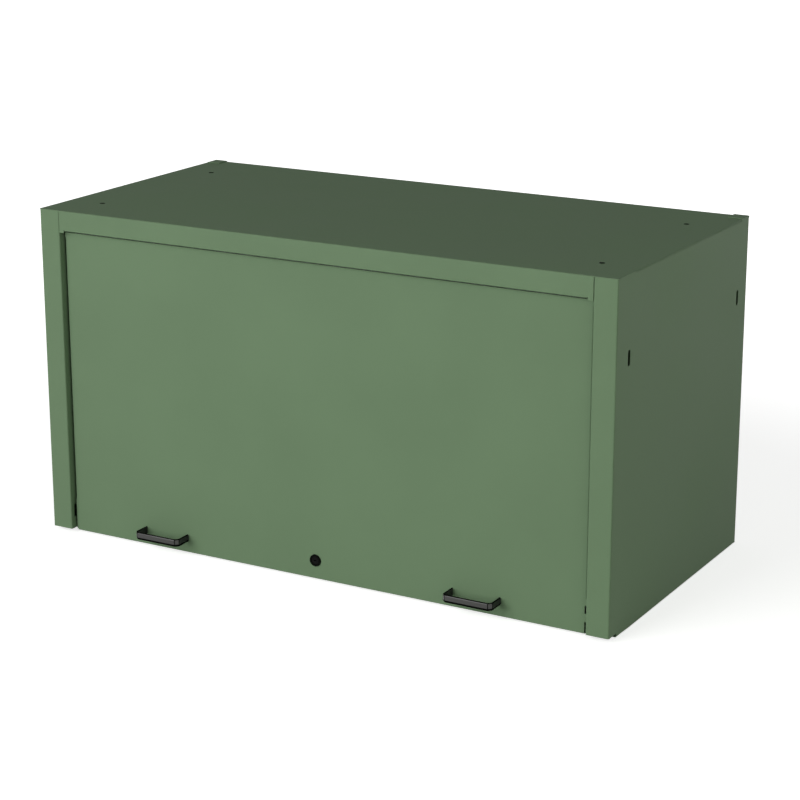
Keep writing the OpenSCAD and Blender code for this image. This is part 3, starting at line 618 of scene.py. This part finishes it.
def back_screws(materials):
    """The screws round the back sheet."""
    spots = islands("back_screws")
    low, high = spots[0]
    unit = cross_screw((high.x - low.x) / 2, SCREW_HEAD, SCREW_SHANK_R, high.y - low.y - SCREW_HEAD)
    code = copies(unit, [in_box(a, b, b.y - SCREW_HEAD) for a, b in spots])
    make_piece("back_sheet_screws", code, [materials["zinc_steel"]],
               body="carcass", node="back_screws", sharp=SHARP_FASTENER)


def cam_screw(materials):
    """The screw that holds the lock's cam."""
    low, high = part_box("cam_screw")
    length = high.y - low.y - CAM_SCREW_HEAD
    unit = cross_screw((high.x - low.x) / 2, CAM_SCREW_HEAD, CAM_SCREW_SHANK_R, length)
    code = copies(unit, [in_box(low, high, high.y - CAM_SCREW_HEAD)])
    make_piece("cam_screw_turned", code, [materials["zinc_steel"]],
               body="lock", node="cam_screw", sharp=SHARP_FASTENER)


def hinge_rivets(materials):
    """Domed rivets that hold the hinge to the lintel's lip."""
    spots = islands("hinge_rivets")
    low, high = spots[0]
    head = dome((high.x - low.x) / 2, RIVET_HEAD * RIVET_RIM_SHARE, RIVET_HEAD)
    grip = high.y - low.y - 2 * RIVET_HEAD
    shank = [(RIVET_SHANK_R, 0.0), (RIVET_SHANK_R, grip)]
    profile = [(r, -h) for r, h in reversed(head)] + shank + [(r, h + grip) for r, h in head]
    unit = as_mesh("rivet", lathe(profile, segments=32))
    code = copies(unit, [in_box(a, b, a.y + RIVET_HEAD) for a, b in spots])
    make_piece("hinge_rivets_domed", code, [materials["zinc_steel"]],
               body="carcass", node="hinge_rivets", sharp=SHARP_FASTENER)


def door_bumpers(materials):
    """Rubber bumpers with a rounded face, a stem and a knob that holds them in their brackets."""
    spots = islands("door_bumpers")
    low, high = spots[0]
    face_r, length = (high.x - low.x) / 2, high.y - low.y
    pad = [(face_r * r, PAD * h) for r, h in PAD_ROUNDING]
    knob = [(KNOB_R * r, length - KNOB * h) for r, h in KNOB_ROUNDING]
    profile = [(0.0, 0.0), *pad, (STEM_R, PAD), (STEM_R, length - KNOB), *knob, (0.0, length)]
    unit = as_mesh("bumper", lathe(profile, segments=40))
    code = copies(unit, [in_box(a, b, a.y) for a, b in spots])
    make_piece("rubber_bumpers", code, [materials["rubber"]],
               body="carcass", node="door_bumpers", sharp=SHARP_TURNED)


def lock_ring(materials):
    """The lock's housing: a rounded rim round a shallow recess, and the barrel behind it."""
    low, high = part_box("lock_body")
    rim_r, length, bore_r = (high.x - low.x) / 2, high.y - low.y, PLUG_R + PLUG_PLAY
    profile = [
        (RECESS_R + RECESS_LIP, 0.0), *rounded_rim(rim_r, RING_SOFT), (rim_r, RING_T), (BARREL_R, RING_T),
        (BARREL_R, length), (bore_r, length), (bore_r, RECESS), (RECESS_R - RECESS_FILLET, RECESS),
        (RECESS_R, RECESS_FILLET_DEPTH), (RECESS_R, RECESS_LIP_DEPTH),
    ]
    unit = as_mesh("ring", lathe(profile, closed=True, segments=LOCK_SEGMENTS))
    code = copies(unit, [in_box(low, high, low.y)])
    make_piece("lock_housing", code, [materials["lock_rim"]],
               body="door", node="lock_body", sharp=SHARP_TURNED)


def lock_key_plug(materials):
    """The key plug: a round face with its key slot level, and the square that drives the cam."""
    low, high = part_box("lock_plug")
    length = high.y - low.y
    round_end = length - DRIVE_T
    edge = [(PLUG_R - PLUG_SOFT, 0.0), (PLUG_R, PLUG_SOFT)]
    face = lathe([(0.0, 0.0), *edge, (PLUG_R, round_end), (0.0, round_end)], segments=LOCK_SEGMENTS)
    knife, half = bmesh.new(), KEY_SLOT / 2
    add_box(knife, (-half.x, -half.z, -KEY_SLOT.y), (half.x, half.z, KEY_SLOT.y))
    plug = bmesh.new()
    plug.from_mesh(carved(as_mesh("face", face), as_mesh("knife", knife)))
    bmesh.ops.remove_doubles(plug, verts=plug.verts[:], dist=NEAR)
    side = DRIVE_SQUARE / 2
    add_box(plug, (-side, -side, round_end), (side, side, length))
    code = copies(as_mesh("plug", plug), [in_box(low, high, low.y)])
    make_piece("lock_key_plug", code, [materials["lock_face"]],
               body="lock", node="lock_plug", sharp=SHARP_TURNED)


def strut_tube(side, materials):
    """The gas strut's cylinder: a rounded upper end, a rolled groove and a turned-in lower rim."""
    joints = {joint["name"]: joint for joint in frame["joints"]}
    ball = Vector(joints[f"{side}_strut_swing"]["pos_m"])
    along = Vector(joints[f"{side}_strut_slide"]["axis"])
    node = f"strut_cylinder_{side}"
    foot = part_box(node)[0].z
    length = (ball.z - TUBE_R * abs(along.y) - foot) / abs(along.z) - TUBE_START
    groove, bore_r = length - TUBE_GROOVE, TUBE_R - TUBE_WALL
    profile = [
        (0.0, 0.0), *rounded_rim(TUBE_R, TUBE_SOFT), (TUBE_R, groove - 2 * GROOVE_R),
        (TUBE_R - GROOVE_R, groove - GROOVE_R), (TUBE_R - GROOVE_R, groove), (TUBE_R, groove + GROOVE_R),
        *[(TUBE_R - TUBE_SOFT * inward, length - TUBE_SOFT * back) for inward, back in ROLLED_RIM],
        (bore_r, length), (bore_r, TUBE_CAP), (0.0, TUBE_CAP),
    ]
    code = copies(as_mesh("tube", lathe(profile)), [facing(ball + along * TUBE_START, along)])
    make_piece(f"gas_cylinder_{side}", code, [materials["black_finish"]],
               body=f"{side}_strut_tube", node=node, sharp=SHARP_TURNED)


def edge_inset(height, rounding):
    """How far a rounded edge draws in at a height above it."""
    left = 1 - min(height / rounding.y, 1)
    return rounding.x * (1 - math.sqrt(1 - left * left))


def strip_levels(tall):
    """Heights of a strip's rings, close together in the roundings of its lower and upper edges."""
    shares = [1 - math.cos(math.pi / 2 * i / PULL_STEPS) for i in range(PULL_STEPS + 1)]
    under = {rounding.y * share for rounding in (PULL_UNDER, PULL_INNER) for share in shares}
    over = {tall - rounding.y * share for rounding in (PULL_OVER, PULL_INNER) for share in shares}
    return sorted(under | over)


def strip_wall(front, face, inset):
    """Right half of the U that a wall of the strip follows, set in evenly from the outer side."""
    # The cut corner's legs shorten so that its slanted wall is set in as far as the straight ones
    half, cut = PULL_LENGTH / 2 - inset, PULL_CUT - inset * (2 - math.sqrt(2))
    return [(half, face), (half, front + inset + cut), (half - cut, front + inset)]


def strip_rings(mesh_code, low, high):
    """The rings of a U-shaped strip. Each goes round outside from the left end, and back inside."""
    middle, tall = (low.x + high.x) / 2, high.z - low.z
    rings = []
    for level in strip_levels(tall):
        outer = edge_inset(level, PULL_UNDER) + edge_inset(tall - level, PULL_OVER)
        inner = PULL_STRIP - edge_inset(level, PULL_INNER) - edge_inset(tall - level, PULL_INNER)
        outside, inside = [strip_wall(low.y, DOOR_FACE_Y, inset) for inset in (outer, inner)]
        right = outside[::-1] + inside
        outline = [(-x, y) for x, y in outside] + right + [(-x, y) for x, y in inside[::-1]]
        rings.append([mesh_code.verts.new((middle + x, y, low.z + level)) for x, y in outline])
    return rings


def strip_finish(wall, level, tall):
    """The finish of a strip's wall at a level: plain, painted shade along its edges, or the front lightened as
    painted light.
    """
    under, over = (PULL_UNDER.y, PULL_TOP_BAND) if wall in OUTER_WALLS else (PULL_INNER.y, PULL_INNER.y)
    if not under <= level <= tall - over:
        return PULL_PAINTED_SHADE
    return PULL_PAINTED_LIGHT if wall in FRONT_WALLS else PLAIN


def strip_skin(mesh_code, rings):
    """The faces of a strip between its rings, with its front's corners softened. Its caps, edge bands and front
    creases take the painted shade.
    """
    bottom, tall = rings[0][0].co.z, rings[-1][0].co.z - rings[0][0].co.z
    for cap in (rings[0], rings[-1]):
        mesh_code.faces.new(cap).material_index = PULL_PAINTED_SHADE
    for under, over in zip(rings, rings[1:]):
        level = (under[0].co.z + over[0].co.z) / 2 - bottom
        for i in range(len(under)):
            j = (i + 1) % len(under)
            panel = mesh_code.faces.new((under[i], under[j], over[j], over[i]))
            panel.material_index = strip_finish(i, level, tall)
    bmesh.ops.recalc_face_normals(mesh_code, faces=mesh_code.faces[:])
    steps = [(under[i], over[i]) for under, over in zip(rings, rings[1:]) for i in FRONT_CORNERS]
    creases = [mesh_code.edges.get(step) for step in steps]
    bevel_edges(mesh_code, creases, PULL_CREASE, segments=2, material=PULL_PAINTED_SHADE)


def peened_tab(mesh_code, x, low, high):
    """A tab of a pull that goes through the door and is spread to a rounded peen behind it."""
    half, spread = PULL_STRIP / 2, (high.x - low.x - PULL_LENGTH) / 2
    under, over, back = low.z + PULL_TAB_STEP, high.z - PULL_TAB_STEP, high.y - PULL_PEEN
    add_box(mesh_code, (x - half, DOOR_FACE_Y, under), (x + half, back, over))
    peen = add_box(mesh_code, (x - half - spread, back, under - spread),
                   (x + half + spread, high.y, over + spread))
    rear = [vert for vert in peen if vert.co.y > high.y - NEAR]
    rim = [edge for edge in mesh_code.edges if all(vert in rear for vert in edge.verts)]
    bevel_edges(mesh_code, rim, PULL_PEEN_SOFT, segments=3)


def pull_handle(side, materials):
    """A U-shaped pull bent from strip, with cut corners, rounded edges and peened tabs."""
    node = f"handle_{side}"
    low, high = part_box(node)
    code = bmesh.new()
    strip_skin(code, strip_rings(code, low, high))
    for end in (-1, 1):
        peened_tab(code, (low.x + high.x) / 2 + end * (PULL_LENGTH - PULL_STRIP) / 2, low, high)
    # Plain black, painted shade on the edges, and the front lightened as painted light
    finishes = [materials[finish] for finish in ("black_finish", "black_painted_shade", "pull_face_painted_light")]
    make_piece(f"pull_{side}", code, finishes,
               body="door", node=node, sharp=SHARP_PULL)


def make_camera():
    """The photograph's camera."""
    back = Vector((
        math.sin(VIEW_AZIMUTH) * math.cos(VIEW_ELEVATION),
        -math.cos(VIEW_AZIMUTH) * math.cos(VIEW_ELEVATION),
        math.sin(VIEW_ELEVATION),
    ))
    data = bpy.data.cameras.new("camera")
    data.lens = LENS
    data.sensor_width = SENSOR
    data.clip_end = CLIP_END
    camera = linked("camera", data)
    camera.location = Vector((VIEW_X, DOOR_FACE_Y, VIEW_Z)) + back * VIEW_DISTANCE
    camera.rotation_euler = back.to_track_quat("Z", "Y").to_euler()
    bpy.context.scene.camera = camera


def soft_lamp(name, place, size, power, tint):
    """A square area lamp turned to the hutch."""
    data = bpy.data.lights.new(name, "AREA")
    data.color = tint
    data.shape = "SQUARE"
    data.size = size
    data.energy = power
    lamp = linked(name, data)
    lamp.location = place
    lamp.rotation_euler = (place - LAMP_AIM).to_track_quat("Z", "Y").to_euler()


def cleared_tree(owner):
    """The node tree of a world or a material, with nothing in it."""
    owner.use_nodes = True
    owner.node_tree.nodes.clear()
    return owner.node_tree


def background(tree, strength):
    """A white background of a strength."""
    node = tree.nodes.new("ShaderNodeBackground")
    node.inputs["Color"].default_value = (*WHITE, 1)
    node.inputs["Strength"].default_value = strength
    return node.outputs["Background"]


def reflected(tree, path):
    """1 for a ray that metal or glass sends on, and 0 for any other."""
    return math_node(tree, "MAXIMUM", path.outputs["Is Glossy Ray"], path.outputs["Is Transmission Ray"])


def make_world():
    """An even pale light. To the eye it is white, and so it is in reflections near the horizon."""
    world = bpy.data.worlds.new("studio")
    bpy.context.scene.world = world
    tree = cleared_tree(world)
    path = tree.nodes.new("ShaderNodeLightPath")
    place = separated(tree, tree.nodes.new("ShaderNodeTexCoord").outputs["Generated"])
    band = faded(tree, place["Z"], (0.0, HORIZON_FADE), (1.0, 0.0))
    shown = math_node(tree, "MULTIPLY", reflected(tree, path), band)
    mix = tree.nodes.new("ShaderNodeMixShader")
    tree.links.new(math_node(tree, "MAXIMUM", path.outputs["Is Camera Ray"], shown), mix.inputs["Fac"])
    tree.links.new(background(tree, AMBIENT), mix.inputs[1])
    tree.links.new(background(tree, 1.0), mix.inputs[2])
    out = tree.nodes.new("ShaderNodeOutputWorld")
    tree.links.new(mix.outputs["Shader"], out.inputs["Surface"])


def uncovered(tree, place):
    """1 on the open floor and 0 under the hutch, with a soft change at its front."""
    spot = separated(tree, place)
    wide = math_node(tree, "LESS_THAN", math_node(tree, "ABSOLUTE", spot["X"]), COVERED_HALF_X)
    deep = math_node(tree, "LESS_THAN", spot["Y"], COVERED_BACK)
    behind_front = faded(tree, spot["Y"], COVERED_FRONT, (0.0, 1.0))
    covered = math_node(tree, "MULTIPLY", math_node(tree, "MULTIPLY", wide, deep), behind_front)
    return math_node(tree, "SUBTRACT", 1.0, covered)


def floor_material():
    """A grey that takes the hutch's shadow, and a glow that only the eye and reflections see."""
    made = bpy.data.materials.new("floor")
    tree = cleared_tree(made)
    diffuse = tree.nodes.new("ShaderNodeBsdfDiffuse")
    diffuse.inputs["Color"].default_value = (FLOOR_GREY, FLOOR_GREY, FLOOR_GREY, 1)
    path = tree.nodes.new("ShaderNodeLightPath")
    place = tree.nodes.new("ShaderNodeTexCoord").outputs["Object"]
    level = faded(tree, vector_length(tree, place), FLOOR_FADE, FLOOR_GLOW)
    seen = math_node(tree, "MAXIMUM", path.outputs["Is Camera Ray"], reflected(tree, path))
    shining = math_node(tree, "MULTIPLY", seen, uncovered(tree, place))
    glow = tree.nodes.new("ShaderNodeEmission")
    tree.links.new(math_node(tree, "MULTIPLY", shining, level), glow.inputs["Strength"])
    total = tree.nodes.new("ShaderNodeAddShader")
    tree.links.new(diffuse.outputs["BSDF"], total.inputs[0])
    tree.links.new(glow.outputs["Emission"], total.inputs[1])
    out = tree.nodes.new("ShaderNodeOutputMaterial")
    tree.links.new(total.outputs["Shader"], out.inputs["Surface"])
    return made


def make_floor():
    """A pale floor that is white to the eye and keeps the hutch's soft shadow."""
    code = bmesh.new()
    bmesh.ops.create_grid(code, x_segments=1, y_segments=1, size=FLOOR_REACH)
    floor = linked("floor", as_mesh("floor", code))
    paint(floor, floor_material())


materials = make_materials()
dress_nodes(materials)
for side in ("left", "right"):
    pull_handle(side, materials)
    strut_tube(side, materials)
lock_ring(materials)
lock_key_plug(materials)
cam_screw(materials)
back_screws(materials)
hinge_rivets(materials)
door_bumpers(materials)
make_camera()
make_world()
make_floor()
soft_lamp("key", KEY_PLACE, KEY_SIZE, KEY_POWER, WHITE)
soft_lamp("fill", FILL_PLACE, FILL_SIZE, FILL_POWER, FILL_TINT)
soft_lamp("rear", REAR_PLACE, REAR_SIZE, REAR_POWER, WHITE)
bpy.context.scene.view_settings.view_transform = "Standard"
